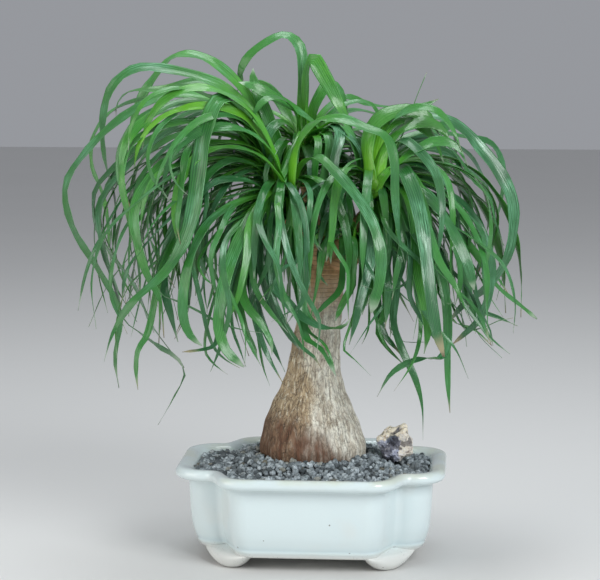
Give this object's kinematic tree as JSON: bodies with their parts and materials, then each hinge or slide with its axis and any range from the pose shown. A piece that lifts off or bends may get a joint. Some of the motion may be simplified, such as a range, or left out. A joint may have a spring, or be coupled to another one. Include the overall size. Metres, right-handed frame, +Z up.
{
  "type": "potted ponytail palm",
  "caption": "Ponytail palm with a swollen trunk and arching strap leaves in a shallow lobed glazed pot with feet, topped with gravel.",
  "frame": {"origin": "middle of the outer box in plan, at the underside of the pot's feet, where they stand", "axes": "+Z up, the pot's long side along X, the front of the plant looks towards -Y"},
  "size_m": [0.425, 0.3004, 0.4779],
  "materials": {
    "glaze": "glossy pale celadon glaze",
    "mesh": "matte moulded mesh",
    "soil": "crumbly, matte",
    "gravel": "rough loose granules",
    "bark": "fissured bark",
    "leaf": "satin, finely ribbed",
    "low_leaf": "satin, finely ribbed",
    "rock": "rough"
  },
  "bodies": {
    "root": {"pot": "glaze", "drain_screen_left": "mesh", "drain_screen_right": "mesh", "potting_mix": "soil", "gravel": "gravel", "trunk": "bark", "upper_leaf_heads": "leaf", "low_leaf_head": "low_leaf", "rock": "rock"}
  },
  "joints": []
}
